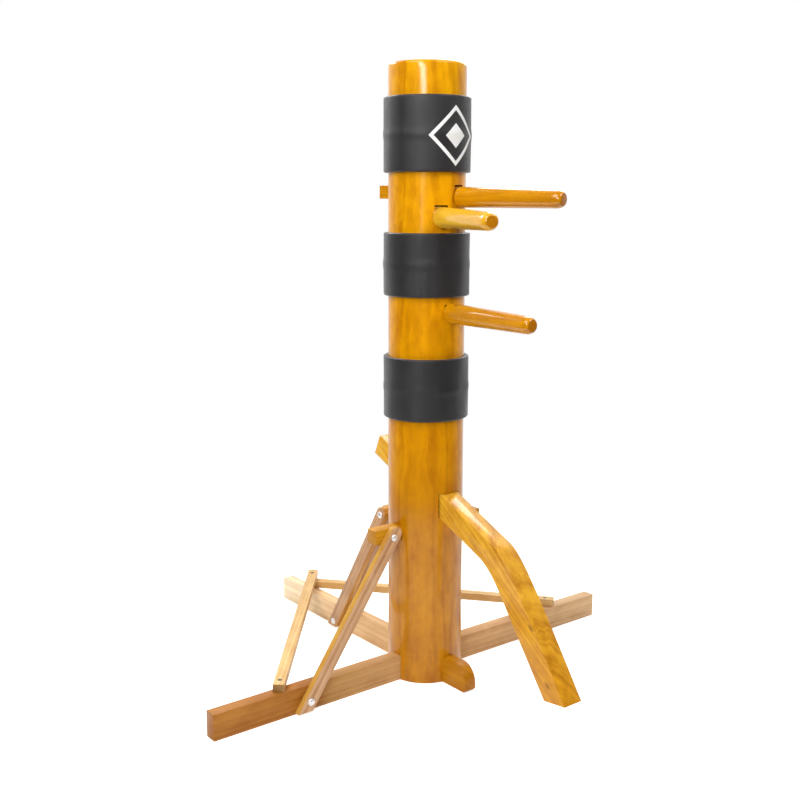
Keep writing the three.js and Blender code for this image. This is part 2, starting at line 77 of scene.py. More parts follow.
def make_camera():
    data = bpy.data.cameras.new("camera")
    data.lens = CAMERA_LENS
    data.sensor_width = 36
    data.shift_x, data.shift_y = CAMERA_SHIFT
    data.clip_start = 0.05
    camera = bpy.data.objects.new("camera", data)
    bpy.context.scene.collection.objects.link(camera)
    heading = Matrix.Rotation(CAMERA_AZIMUTH + CAMERA_AIM, 4, "Z")
    tilt = Matrix.Rotation(math.pi / 2 + CAMERA_PITCH, 4, "X")
    roll = Matrix.Rotation(CAMERA_ROLL, 4, "Z")
    place = Matrix.Translation(toward(CAMERA_AZIMUTH, CAMERA_DISTANCE, CAMERA_HEIGHT))
    camera.matrix_world = place @ heading @ tilt @ roll
    bpy.context.scene.camera = camera


make_camera()

# ---------------------------------------------------------------- node graphs


def tone(red, green, blue):
    """An 8-bit display colour as linear light, with an alpha of 1."""
    linear = []
    for level in (red, green, blue):
        share = level / 255
        linear.append(((share + 0.055) / 1.055) ** 2.4 if level > 10 else share / 12.92)
    return (*linear, 1)


class Graph:
    """A material's node tree around one Principled shader. Values may be numbers, colours or sockets."""

    def __init__(self, name, **shader):
        self.material = bpy.data.materials.new(name)
        self.material.use_nodes = True
        self.tree = self.material.node_tree
        self.tree.nodes.clear()
        self.shader = self.tree.nodes.new("ShaderNodeBsdfPrincipled")
        output = self.tree.nodes.new("ShaderNodeOutputMaterial")
        self.tree.links.new(self.shader.outputs[0], output.inputs["Surface"])
        for socket, value in shader.items():
            self.set(self.shader.inputs[socket.replace("_", " ")], value)
        self.place = self.add("ShaderNodeTexCoord").outputs["Object"]

    def set(self, socket, value):
        if isinstance(value, bpy.types.NodeSocket):
            self.tree.links.new(value, socket)
        else:
            socket.default_value = value

    def add(self, kind, inputs=None, **settings):
        node = self.tree.nodes.new(kind)
        for key, value in settings.items():
            setattr(node, key, value)
        for key, value in (inputs or {}).items():
            self.set(node.inputs[key], value)
        return node

    def math(self, operation, a, b=0.0, c=0.0, clamp=False):
        node = self.add("ShaderNodeMath", {0: a, 1: b, 2: c}, operation=operation, use_clamp=clamp)
        return node.outputs[0]

    def vector(self, operation, a, b=(0, 0, 0), output=0):
        node = self.add("ShaderNodeVectorMath", {0: a, 1: b}, operation=operation)
        return node.outputs[output]

    def scaled(self, vector, amount):
        return self.add("ShaderNodeVectorMath", {0: vector, "Scale": amount}, operation="SCALE").outputs[0]

    def mapping(self, vector, location=(0, 0, 0), rotation=(0, 0, 0), scale=(1, 1, 1)):
        values = {"Vector": vector, "Location": location, "Rotation": rotation, "Scale": scale}
        return self.add("ShaderNodeMapping", values).outputs[0]

    def noise(self, vector, scale, detail=2.0, roughness=0.5, output=0):
        values = {"Vector": vector, "Scale": scale, "Detail": detail, "Roughness": roughness}
        return self.add("ShaderNodeTexNoise", values).outputs[output]

    def noise_line(self, w, detail=2.0, roughness=0.5):
        values = {"W": w, "Scale": 1.0, "Detail": detail, "Roughness": roughness}
        return self.add("ShaderNodeTexNoise", values, noise_dimensions="1D").outputs[0]

    def span(self, value, low, high, to_low=0.0, to_high=1.0):
        values = {"Value": value, "From Min": low, "From Max": high, "To Min": to_low, "To Max": to_high}
        return self.add("ShaderNodeMapRange", values, interpolation_type="SMOOTHSTEP").outputs[0]

    def mix(self, factor, a, b, blend="MIX"):
        node = self.add("ShaderNodeMix", data_type="RGBA", blend_type=blend, clamp_factor=True)
        self.set(node.inputs["Factor"], factor)
        self.set(node.inputs[6], a)
        self.set(node.inputs[7], b)
        return node.outputs[2]

    def ramp(self, factor, stops):
        node = self.add("ShaderNodeValToRGB", {"Fac": factor})
        elements = node.color_ramp.elements
        while len(elements) < len(stops):
            elements.new(0.5)
        for element, (position, colour) in zip(elements, stops):
            element.position = position
            element.color = colour
        return node.outputs[0]

    def bump(self, height, distance, strength=1.0):
        values = {"Height": height, "Distance": distance, "Strength": strength}
        node = self.add("ShaderNodeBump", values)
        self.set(self.shader.inputs["Normal"], node.outputs[0])


# ---------------------------------------------------------------- materials

GRAIN_STRETCH = 0.06  # how fast the grain changes along the timber, against across it
SWIRL_STRETCH = 0.3
CLOUD_STRETCH = 0.55
BEND = 0.05  # metres that the rings wander
KNOT_STRETCH = 0.45
KNOT_PUSH = 1.3  # how far a knot pushes the rings, in its own radii
KNOT_TONE = (104, 56, 12)
# colour of the painted shade on the trunk's mortise walls
BORE_SHADE_TONE = (70, 38, 6)
HALF = (0.5, 0.5, 0.5)


def wood(name, grain, tones, pith=(0.0, 0.09), ring_gap=0.009, rings=0.5, mottle=0.5, depth=0.62,
         knots=(), span=(0.0, 1.0), seed=0.0, roughness=0.42, coat=0.0, coat_roughness=0.12, endgrain=0.4,
         sides=None, figure=0.0, specular=0.12, bore=None, end=None, coat_ior=1.34):
    """Solid wood: growth rings round a pith that runs along the grain, fibres, pores and mottling.

    tones lists (place, colour) along the grain, over span in metres; depth is how dark the darkest grain is;
    knots lists (point, radius); sides is (axis, colour) for faces that turn away from the axis; figure adds
    slow swirls that break the rings into arches; bore is (radius, height) of a post whose mortise walls,
    which lie inside the radius and below the height, are painted dark as painted shade of the gaps round
    the tenons; end is the colour of end grain.
    """
    g = Graph(name, Roughness=roughness, Coat_Weight=coat, Coat_Roughness=coat_roughness, Coat_IOR=coat_ior)
    g.shader.inputs["Specular IOR Level"].default_value = specular
    along = Vector(grain).normalized()
    turn = along.rotation_difference(Vector((1, 0, 0))).to_euler()
    straight = g.mapping(g.place, rotation=tuple(turn))
    drawn = g.mapping(straight, location=(seed, 0.31 * seed, 0.17 * seed), scale=(GRAIN_STRETCH, 1, 1))

    # Knots push the rings aside and darken the wood at their heart.
    push = 0.0
    shade = 0.0
    for point, radius in knots:
        offset = g.mapping(g.vector("SUBTRACT", g.place, point), rotation=tuple(turn))
        near = g.vector("LENGTH", g.vector("MULTIPLY", offset, (KNOT_STRETCH, 1, 1)), output="Value")
        bulge = g.span(near, radius * 0.6, radius * 4.0, 1.0, 0.0)
        heart = g.span(near, radius * 0.5, radius * 1.25, 1.0, 0.0)
        push = g.math("ADD", push, g.math("MULTIPLY", bulge, KNOT_PUSH * radius))
        shade = g.math("MAXIMUM", shade, heart)

    bend = g.scaled(g.vector("SUBTRACT", g.noise(drawn, 9.0, 3.0, 0.55, 1), HALF), BEND)
    swirl_place = g.mapping(straight, location=(seed, seed, seed), scale=(SWIRL_STRETCH, 1, 1))
    swirl = g.scaled(g.vector("SUBTRACT", g.noise(swirl_place, 13.0, 2.0, 0.5, 1), HALF), figure)
    bent = g.vector("ADD", g.vector("MULTIPLY", straight, (0.0, 1, 1)), g.vector("ADD", bend, swirl))
    radial = g.vector("LENGTH", g.vector("ADD", bent, (0, pith[0], pith[1])), output="Value")
    count = g.math("DIVIDE", g.math("ADD", radial, push), ring_gap)
    ring = g.noise_line(g.math("ADD", count, seed * 7.0), 3.0, 0.6)
    saw = g.math("POWER", g.math("FRACT", count), 3.0)
    ring = g.math("ADD", g.span(ring, 0.3, 0.72), g.math("MULTIPLY", saw, 0.25))

    fibre = g.noise(g.mapping(drawn, scale=(0.5, 1, 1)), 420.0, 3.0, 0.65)
    pores = g.span(g.noise(g.mapping(drawn, scale=(1.6, 1, 1)), 900.0, 1.0, 0.5), 0.66, 0.74)
    cloud_place = g.mapping(straight, location=(seed, seed, 0), scale=(CLOUD_STRETCH, 1, 1))
    clouds = g.noise(cloud_place, 22.0, 4.0, 0.66)

    grainy = g.math("MULTIPLY", ring, rings)
    grainy = g.math("ADD", grainy, g.math("MULTIPLY", g.math("SUBTRACT", fibre, 0.5), 0.7 * rings))
    grainy = g.math("ADD", grainy, g.math("MULTIPLY", g.math("SUBTRACT", clouds, 0.45), 2.0 * mottle))
    grainy = g.math("ADD", grainy, g.math("MULTIPLY", pores, 0.25), clamp=True)

    where = g.add("ShaderNodeSeparateXYZ", {0: straight}).outputs[0]
    low, high = span
    stops = [((place - low) / (high - low), tone(*colour)) for place, colour in tones]
    place = g.math("ADD", g.math("DIVIDE", g.math("SUBTRACT", where, low), high - low),
                   g.math("MULTIPLY", g.math("SUBTRACT", clouds, 0.5), 0.12))
    base = g.ramp(place, stops) if len(stops) > 1 else stops[0][1]
    normal = g.add("ShaderNodeTexCoord").outputs["Normal"]
    if sides:
        axis, side_colour = sides
        turned_away = g.math("ABSOLUTE", g.vector("DOT_PRODUCT", normal, axis, output="Value"))
        base = g.mix(g.span(turned_away, 0.45, 0.75), tone(*side_colour), base)
    deep = g.mix(1.0, base, (depth, depth ** 1.6, depth ** 2.2, 1), "MULTIPLY")
    colour = g.mix(grainy, base, deep)
    facing = g.math("ABSOLUTE", g.vector("DOT_PRODUCT", normal, tuple(along), output="Value"))
    colour = g.mix(g.span(facing, 0.75, 1.0, 0.0, endgrain), colour, tone(*end) if end else deep)
    if knots:
        colour = g.mix(g.math("MULTIPLY", shade, 0.6), colour, tone(*KNOT_TONE))
    # Painted shade: mortise walls inside the post are darkened to stand for the dark gaps round the tenons and
    # the leg.
    if bore:
        radius, height = bore
        post = g.add("ShaderNodeSeparateXYZ", {0: g.place})
        out = g.vector("LENGTH", g.vector("MULTIPLY", g.place, (1, 1, 0)), output="Value")
        inside = g.math("MULTIPLY", g.span(out, radius - 0.003, radius - 0.0003, 1.0, 0.0),
                        g.math("LESS_THAN", post.outputs[2], height))
        colour = g.mix(g.math("MULTIPLY", inside, 0.9), colour, tone(*BORE_SHADE_TONE))
    g.set(g.shader.inputs["Base Color"], colour)
    relief = g.math("SUBTRACT", g.math("MULTIPLY", fibre, 0.6), pores)
    g.bump(relief, 0.0002, 0.35)
    return g.material


def leatherette(name, colour, roughness=0.42):
    """Grained vinyl: small rounded cells with fine creases between them."""
    g = Graph(name, Roughness=roughness, Sheen_Weight=0.15, Sheen_Roughness=0.5)
    g.shader.inputs["Specular IOR Level"].default_value = 0.5
    warp = g.scaled(g.noise(g.place, 260.0, 2.0, 0.5, 1), 0.0012)
    cells = g.add("ShaderNodeTexVoronoi", {"Vector": g.vector("ADD", g.place, warp), "Scale": 760.0},
                  feature="DISTANCE_TO_EDGE").outputs["Distance"]
    grain = g.span(cells, 0.02, 0.28)
    wear = g.noise(g.place, 14.0, 4.0, 0.6)
    dark = g.mix(1.0, colour, (0.62, 0.62, 0.64, 1), "MULTIPLY")
    worn = g.mix(g.span(wear, 0.35, 0.7, 0.0, 0.7), colour, dark)
    g.set(g.shader.inputs["Base Color"], g.mix(grain, dark, worn))
    g.set(g.shader.inputs["Roughness"], g.span(wear, 0.3, 0.7, roughness - 0.04, roughness + 0.08))
    g.bump(grain, 0.00025, 0.5)
    return g.material


def metal(name, colour, roughness):
    """Plated steel with faint turning marks and dull patches."""
    g = Graph(name, Metallic=1.0)
    patches = g.noise(g.place, 180.0, 4.0, 0.6)
    dull = g.mix(1.0, colour, (0.72, 0.7, 0.68, 1), "MULTIPLY")
    g.set(g.shader.inputs["Base Color"], g.mix(g.span(patches, 0.4, 0.75), colour, dull))
    g.set(g.shader.inputs["Roughness"], g.span(patches, 0.3, 0.7, roughness, roughness + 0.15))
    g.bump(g.noise(g.place, 1400.0, 2.0, 0.5), 0.00005, 0.3)
    return g.material


def ink(name, colour):
    """A screen-printed film, slightly broken by the grain under it."""
    g = Graph(name, Roughness=0.5)
    speckle = g.noise(g.place, 700.0, 3.0, 0.7)
    thin = g.mix(1.0, colour, (0.78, 0.78, 0.8, 1), "MULTIPLY")
    g.set(g.shader.inputs["Base Color"], g.mix(g.span(speckle, 0.55, 0.8), colour, thin))
    g.bump(speckle, 0.00005, 0.4)
    return g.material


# ---------------------------------------------------------------- mesh helpers


def link(name, mesh, material, node, replaced=(), smooth=40.0):
    """A new piece that rides with a CAD node's body, and stands for CAD nodes."""
    piece = bpy.data.objects.new(name, mesh)
    bpy.context.scene.collection.objects.link(piece)
    mesh.materials.clear()
    mesh.materials.append(material)
    mesh.shade_smooth()
    mesh.set_sharp_from_angle(angle=math.radians(smooth))
    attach(piece, BODY_OF[node])
    if replaced:
        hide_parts(*replaced)
    return piece


def finished(bm):
    """A bmesh as mesh data, with its faces pointing out."""
    bmesh.ops.recalc_face_normals(bm, faces=bm.faces)
    mesh = bpy.data.meshes.new("mesh")
    bm.to_mesh(mesh)
    bm.free()
    return mesh


def turned(profile, sides, shape=None):
    """A closed solid of revolution about Z. The profile lists (radius, z), and a radius of 0 is a pole."""
    bm = bmesh.new()
    rings = []
    for radius, z in profile:
        if radius < 1e-9:
            rings.append([bm.verts.new((0, 0, z))])
            continue
        ring = []
        for i in range(sides):
            angle = 2 * math.pi * i / sides
            r = shape(radius, z, angle) if shape else radius
            ring.append(bm.verts.new((r * math.cos(angle), r * math.sin(angle), z)))
        rings.append(ring)
    closed = len(rings[0]) > 1
    pairs = list(zip(rings, rings[1:] + rings[:1])) if closed else list(zip(rings, rings[1:]))
    for low, high in pairs:
        for i in range(sides):
            j = (i + 1) % sides
            if len(low) == 1:
                bm.faces.new((low[0], high[i], high[j]))
            elif len(high) == 1:
                bm.faces.new((low[i], low[j], high[0]))
            else:
                bm.faces.new((low[i], low[j], high[j], high[i]))
    return bm


def arc(centre_r, centre_z, radius, start, stop, steps):
    """Points of a round corner in a profile, between two angles in degrees."""
    angles = [math.radians(start + (stop - start) * i / steps) for i in range(steps + 1)]
    return [(centre_r + radius * math.cos(a), centre_z + radius * math.sin(a)) for a in angles]


def block(x, y, z, turn=Matrix.Identity(4)):
    """A box as a bmesh, from (low, high) along each axis."""
    bm = bmesh.new()
    size = Matrix.Diagonal((x[1] - x[0], y[1] - y[0], z[1] - z[0], 1))
    middle = Matrix.Translation(((x[0] + x[1]) / 2, (y[0] + y[1]) / 2, (z[0] + z[1]) / 2))
    bmesh.ops.create_cube(bm, size=1, matrix=turn @ middle @ size)
    return bm


def boolean(target, tools, operation="DIFFERENCE"):
    """Mesh data cut or joined by a list of bmesh tools, one after another."""
    host = bpy.data.objects.new("host", target)
    bpy.context.scene.collection.objects.link(host)
    for tool in tools:
        other = bpy.data.objects.new("tool", finished(tool))
        bpy.context.scene.collection.objects.link(other)
        modifier = host.modifiers.new("cut", "BOOLEAN")
        modifier.operation = operation
        modifier.solver = "EXACT"
        modifier.object = other
        graph = bpy.context.evaluated_depsgraph_get()
        made = bpy.data.meshes.new_from_object(host.evaluated_get(graph))
        host.modifiers.clear()
        host.data = made
        bpy.data.objects.remove(other)
    result = host.data
    bpy.data.objects.remove(host)
    return result


def middle(node):
    low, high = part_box(node)
    return (low + high) / 2


# ---------------------------------------------------------------- trunk

TRUNK_SIDES = 192
RING_STEP = 0.0125
TRUNK_TONES = [(0.0, (200, 133, 14)), (0.25, (202, 136, 24)), (0.45, (200, 133, 4)), (0.7, (220, 148, 0)),
               (1.1, (236, 162, 0)), (1.7, (240, 170, 4))]

ARM_DROOP = math.radians(1.05)
ARM_SPREAD = math.radians(16.3)
ARM_TWIST = math.radians(-1.4)
ARM_TENON = 0.036
ARM_BASE_RADIUS = 0.0275
ARM_TIP_RADIUS = 0.023
ARM_TIP_ALONG = 0.024
ARM_TIP_ACROSS = 0.010
ARM_TAIL = 0.150
ARM_SHOULDER_ROUNDING = 0.0045
RAISE = ARM_BASE_RADIUS - ARM_TENON / 2
ARMS = {
    "arm_upper_right": {"height": 1.3519, "turn": ARM_TWIST + ARM_SPREAD, "reach": 0.421, "raise": RAISE},
    "arm_upper_left": {"height": 1.2991, "turn": ARM_TWIST - ARM_SPREAD, "reach": 0.421, "raise": RAISE},
    "arm_middle": {"height": 1.0453, "turn": ARM_TWIST, "reach": 0.425, "raise": 0.0},
}
LEG_SLOPE = math.radians(23.4)
LEG_AXIS_HEIGHT = 0.5556
LEG_HALF_DEPTH = 0.0305
LEG_SIDE_PLAY = 0.0045
LEG_TOP_PLAY = 0.0015

TRUNK_LOW, TRUNK_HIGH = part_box("trunk")
TRUNK_RADIUS = TRUNK_HIGH.x
TRUNK_HEIGHT = TRUNK_HIGH.z
TRUNK_EDGE = 0.009
THROUGH = TRUNK_RADIUS + 0.02


def arm_place(arm, droop=ARM_DROOP):
    turn = Matrix.Rotation(arm["turn"], 4, "Z") @ Matrix.Rotation(droop, 4, "X")
    return Matrix.Translation((0, 0, arm["height"])) @ turn


def trunk_mortises():
    """Cutters for the base slots, the bars, the three arm mortises and the leg's sloping mortise."""
    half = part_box("lateral_beam")[1].y + HAIR
    slot_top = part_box("lateral_beam")[1].z + HAIR
    bar_low, bar_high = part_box("crossbar")
    bar = (bar_low.z - HAIR, bar_high.z + HAIR)
    yield block((-THROUGH, THROUGH), (-half, half), (-0.005, slot_top))
    yield block((-half, half), (-THROUGH, THROUGH), (-0.005, slot_top))
    yield block((-THROUGH, THROUGH), (-half, half), bar)
    yield block((-half, half), (0, THROUGH), bar)
    for arm in ARMS.values():
        wide = ARM_TENON / 2 + 0.0008
        tall = ARM_TENON / 2 + TRUNK_RADIUS * math.tan(ARM_DROOP) + HAIR
        yield block((-wide, wide), (-THROUGH, THROUGH), (arm["raise"] - tall, arm["raise"] + tall),
                    arm_place(arm, 0.0))
    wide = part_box("leg")[1].x + LEG_SIDE_PLAY
    slope = Matrix.Translation((0, 0, LEG_AXIS_HEIGHT)) @ Matrix.Rotation(LEG_SLOPE, 4, "X")
    yield block((-wide, wide), (-THROUGH - 0.06, THROUGH + 0.06),
                (-LEG_HALF_DEPTH - HAIR, LEG_HALF_DEPTH + LEG_TOP_PLAY), slope)


def make_trunk():
    count = round((TRUNK_HEIGHT - TRUNK_EDGE) / RING_STEP)
    side = [(TRUNK_RADIUS, (TRUNK_HEIGHT - TRUNK_EDGE) * i / count) for i in range(count)]
    edge = arc(TRUNK_RADIUS - TRUNK_EDGE, TRUNK_HEIGHT - TRUNK_EDGE, TRUNK_EDGE, 0, 90, 8)
    top = [(TRUNK_RADIUS * share, TRUNK_HEIGHT) for share in (0.7, 0.4, 0.15)]
    profile = [(0, 0), (TRUNK_RADIUS * 0.5, 0), *side, *edge, *top, (0, TRUNK_HEIGHT)]
    blank = finished(turned(profile, TRUNK_SIDES))
    mesh = boolean(blank, trunk_mortises())
    # The trunk's mortise walls get painted shade, darkened as the gaps round the tenons and the leg are.
    material = wood("trunk_wood", UP, TRUNK_TONES, pith=(0.052, 0.030), ring_gap=0.016, rings=0.4,
                    mottle=0.95, depth=0.6, span=(0, 1.7), seed=3.1, coat=1.0, coat_roughness=0.13,
                    figure=0.05, specular=0.05, bore=(TRUNK_RADIUS, TRUNK_HEIGHT - 0.02))
    link("trunk_body", mesh, material, "trunk", ["trunk"], 30.0)


make_trunk()

# ---------------------------------------------------------------- arms


def make_arm(name, arm, material):
    """A turned arm with a rounded shoulder and tip, on a square tenon that goes through the trunk."""
    shoulder = TRUNK_RADIUS + 2 * HAIR + ARM_BASE_RADIUS * math.sin(ARM_DROOP)
    straight = arm["reach"] - ARM_TIP_ALONG
    corner = ARM_SHOULDER_ROUNDING
    base = [(0, shoulder), *arc(ARM_BASE_RADIUS - corner, shoulder + corner, corner, -90, 0, 5)]
    body = []
    steps = 24
    for i in range(1, steps):
        t = i / steps
        radius = ARM_BASE_RADIUS + (ARM_TIP_RADIUS - ARM_BASE_RADIUS) * t
        body.append((radius, shoulder + corner + (straight - shoulder - corner) * t))
    tip = []
    for i in range(13):
        angle = math.pi / 2 * i / 12
        across = ARM_TIP_RADIUS - ARM_TIP_ACROSS * (1 - math.cos(angle))
        tip.append((across, straight + ARM_TIP_ALONG * math.sin(angle)))
    outward = Matrix.Rotation(math.pi / 2, 4, "X")
    round_part = turned([*base, *body, *tip, (0, arm["reach"])], 64)
    bmesh.ops.transform(round_part, matrix=outward, verts=round_part.verts)
    half = ARM_TENON / 2
    tenon = block((-half, half), (-TRUNK_RADIUS + 0.0045, ARM_TAIL),
                  (arm["raise"] - half, arm["raise"] + half))
    bmesh.ops.bevel(tenon, geom=tenon.edges[:], offset=0.0015, segments=3, profile=0.5, affect="EDGES")
    neck = turned([(0, TRUNK_RADIUS - 0.02), (half - 0.001, TRUNK_RADIUS - 0.02),
                   (half - 0.001, shoulder + 0.002), (0, shoulder + 0.002)], 48)
    bmesh.ops.transform(neck, matrix=outward, verts=neck.verts)
    mesh = boolean(finished(round_part), [neck, tenon], "UNION")
    mesh.transform(arm_place(arm))
    link(name + "_body", mesh, material, name, [name], 35.0)


def arm_grain(arm):
    return arm_place(arm).to_3x3() @ Vector((0, -1, 0))


ARM_LOOKS = {
    "arm_upper_right": {"tones": [(0.1, (216, 148, 4)), (0.42, (206, 136, 2))], "seed": 1.7},
    # arm_upper_left's paler tones are a painted sheen: the overhead light on its top, painted into the same
    # wood's colour.
    "arm_upper_left": {"tones": [(0.1, (246, 200, 56)), (0.42, (240, 178, 30))], "seed": 5.2},
    "arm_middle": {"tones": [(0.1, (222, 154, 4)), (0.42, (212, 140, 2))], "seed": 8.4},
}


def make_arms():
    for name, arm in ARMS.items():
        look = ARM_LOOKS[name]
        direction = arm_grain(arm)
        knots = []
        if name == "arm_middle":
            at = arm_place(arm) @ Vector((-0.012, -0.142, 0.023))
            knots = [(tuple(at), 0.0035)]
        material = wood(name + "_wood", direction, look["tones"], pith=(0.012, 0.01 - arm["height"]),
                        ring_gap=0.006, rings=0.4, mottle=0.6, depth=0.6, span=(0.1, 0.42), seed=look["seed"],
                        coat=1.0, coat_roughness=0.09, knots=knots, endgrain=0.85, specular=0.05,
                        end=(176, 104, 4), coat_ior=1.5)
        make_arm(name, arm, material)


make_arms()

# ---------------------------------------------------------------- carried-over timber


def refine(node, material, width, segments=3):
    """A CAD timber with its sawn edges rounded and the wood put on it."""
    piece = NODES[node]
    piece.data.shade_smooth()
    weld = piece.modifiers.new("weld", "WELD")
    weld.merge_threshold = 0.00001
    edges = piece.modifiers.new("edges", "BEVEL")
    edges.width = width
    edges.segments = segments
    edges.limit_method = "ANGLE"
    edges.angle_limit = math.radians(28)
    edges.harden_normals = True
    edges.use_clamp_overlap = True
    if piece.data.materials:
        piece.material_slots[0].material = material
    else:
        piece.data.materials.append(material)


LEG_FACE = -0.030
LEG_KNOTS = [((LEG_FACE, -0.4595, 0.275), 0.0055), ((LEG_FACE, -0.522, 0.142), 0.005),
             ((LEG_FACE, -0.458, 0.336), 0.0025), ((LEG_FACE, -0.473, 0.303), 0.0025),
             ((LEG_FACE, -0.574, 0.174), 0.0025)]


BRACE_BOLTS = {
    "brace_left": "left",
    "brace_right": "right",
    "brace_rear_left": "rear",
    "brace_rear_right": "rear",
}


def make_timber():
    # Tones along the lateral beam: partly the wood's own two tones, partly painted light; the dark dip at -0.40
    # is a painted shadow where the left brace meets the beam.
    refine("lateral_beam", wood(
        "lateral_beam_wood", (1, 0, 0),
        [(-0.70, (176, 118, 48)), (-0.46, (170, 110, 40)), (-0.40, (152, 96, 26)), (-0.34, (186, 142, 84)),
         (-0.1, (210, 166, 112)), (0.12, (204, 160, 108)), (0.7, (226, 188, 142))],
        pith=(0.05, -0.12), ring_gap=0.012, rings=0.5, mottle=0.7, depth=0.66, span=(-0.7, 0.7), seed=2.3,
        coat=0.2, coat_roughness=0.3), 0.0022)
    # The long beam pales toward its far end: partly the wood's own colour, partly painted light.
    refine("long_beam", wood(
        "long_beam_wood", (0, 1, 0),
        [(-0.20, (188, 124, 10)), (-0.08, (200, 136, 14)), (0.1, (222, 180, 124)), (0.4, (238, 202, 152)),
         (0.74, (255, 234, 196))],
        pith=(0.07, -0.09), ring_gap=0.011, rings=0.5, mottle=0.7, depth=0.68, span=(-0.2, 0.75), seed=6.6,
        coat=0.3, coat_roughness=0.25), 0.003)
    refine("crossbar", wood(
        "crossbar_wood", (1, 0, 0), [(-0.2, (204, 144, 26)), (0.2, (208, 150, 40))],
        pith=(0.03, -0.5), ring_gap=0.009, rings=0.45, mottle=0.7, depth=0.66, span=(-0.2, 0.2), seed=4.1,
        coat=0.6, coat_roughness=0.2), 0.002)
    refine("rear_bar", wood(
        "rear_bar_wood", (0, 1, 0), [(0.0, (206, 148, 44)), (0.2, (206, 152, 56))],
        pith=(0.04, -0.5), ring_gap=0.009, rings=0.45, mottle=0.7, depth=0.68, span=(0.0, 0.2), seed=9.4,
        coat=0.6, coat_roughness=0.2), 0.002)
    for index, (node, bolts) in enumerate(BRACE_BOLTS.items()):
        top = middle(f"nut_{bolts}_top")
        foot = middle(f"nut_{bolts}_foot")
        across = (1, 0, 0) if bolts == "rear" else (0, 1, 0)
        refine(node, wood(
            node + "_wood", top - foot, [(0.0, (206, 166, 126)), (1.0, (204, 158, 110))],
            pith=(0.2 + 0.03 * index, 0.25), ring_gap=0.010, rings=0.65, mottle=0.7, depth=0.62,
            seed=1.3 + index, coat=0.3, coat_roughness=0.25, sides=(across, (216, 166, 76))), 0.0018)
    for index, node in enumerate(("tie_bar_left", "tie_bar_right")):
        start = middle(node.replace("tie_bar", "screw_tie"))
        end = middle("screw_tie_rear")
        refine(node, wood(
            node + "_wood", Vector((end.x - start.x, end.y - start.y, 0)),
            [(0.0, (228, 192, 132)), (1.0, (214, 170, 104))],
            pith=(0.2, 0.12), ring_gap=0.008, rings=0.5, mottle=0.7, depth=0.68, seed=7.3 + index,
            coat=0.2, coat_roughness=0.3, endgrain=0.9, end=(140, 102, 54)), 0.0015)
    refine("leg", wood(
        "leg_wood", (0, -0.6, -0.45), [(-0.2, (240, 182, 50)), (0.05, (236, 176, 52)), (0.4, (216, 150, 26))],
        pith=(0.1, 0.1), ring_gap=0.012, rings=0.6, mottle=1.0, depth=0.58, span=(-0.4, 0.45), seed=2.9,
        knots=LEG_KNOTS, coat=0.9, coat_roughness=0.14, figure=0.03, specular=0.05), 0.0045, 4)


make_timber()

# ---------------------------------------------------------------- pegs

PEG_CHAMFER = 0.0012
PEG_RADIUS = {"leg": 0.006, "arm": 0.005}
PEG_HALF = {"leg": 0.046, "arm": 0.031}


def peg(node, axis, material):
    """A dowel with chamfered ends, along an axis through the CAD peg's middle."""
    low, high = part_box(node)
    size = high - low
    direction = Vector(axis).normalized()
    radius = PEG_RADIUS["leg" if node == "peg_leg" else "arm"]
    half = PEG_HALF["leg" if node == "peg_leg" else "arm"]
    profile = [(0, -half), (radius - PEG_CHAMFER, -half), (radius, -half + PEG_CHAMFER),
               (radius, half - PEG_CHAMFER), (radius - PEG_CHAMFER, half), (0, half)]
    bm = turned(profile, 40)
    place = Matrix.Translation(low + size / 2) @ UP.rotation_difference(direction).to_matrix().to_4x4()
    bmesh.ops.transform(bm, matrix=place, verts=bm.verts)
    link(node + "_dowel", finished(bm), material, node, [node], 30.0)


def make_pegs():
    dowel = wood("peg_wood", UP, [(0, (206, 160, 96)), (1, (206, 160, 96))], ring_gap=0.003, rings=0.5,
                 mottle=0.3, depth=0.65, seed=1.1, roughness=0.55)
    for name, arm in ARMS.items():
        peg(name.replace("arm", "peg_arm"), arm_place(arm).to_3x3() @ UP, dowel)
    peg("peg_leg", (1, 0, 0), dowel)


make_pegs()

# ---------------------------------------------------------------- pads

PAD_ROLL = 0.0045
PAD_SKIN_ROUND = 0.003
RIDGE_RISE = 0.0017
RIDGE_HALF = 0.020
PADS = ("pad_upper", "pad_middle", "pad_lower")
PAD_SIDES = 288
RIDGE_WAVE = 0.0012  # how far the ridge strays up and down
PAD_SLACK = 0.0009  # how far the skin's hollows and rises go
PAD_CLEARANCE = 0.0007  # between the trunk and a pad's lining


def pad_radius(base, z, angle, low, high, seed):
    """The pad's outer skin: a soft ridge at half height, faint hollows, and nothing proud at the closure."""
    mid = (low + high) / 2 + RIDGE_WAVE * math.sin(3 * angle + seed)
    rise = max(0.0, 1 - abs(z - mid) / RIDGE_HALF)
    ridge = RIDGE_RISE * rise * rise * (3 - 2 * rise)
    wobble = noise.noise(Vector((3 * math.cos(angle), 3 * math.sin(angle), 9 * z + seed)))
    back = max(0.0, math.cos(angle - math.pi / 2)) ** 12
    return base - PAD_SLACK + (ridge * (0.8 + 0.5 * wobble) + PAD_SLACK * wobble) * (1 - back)


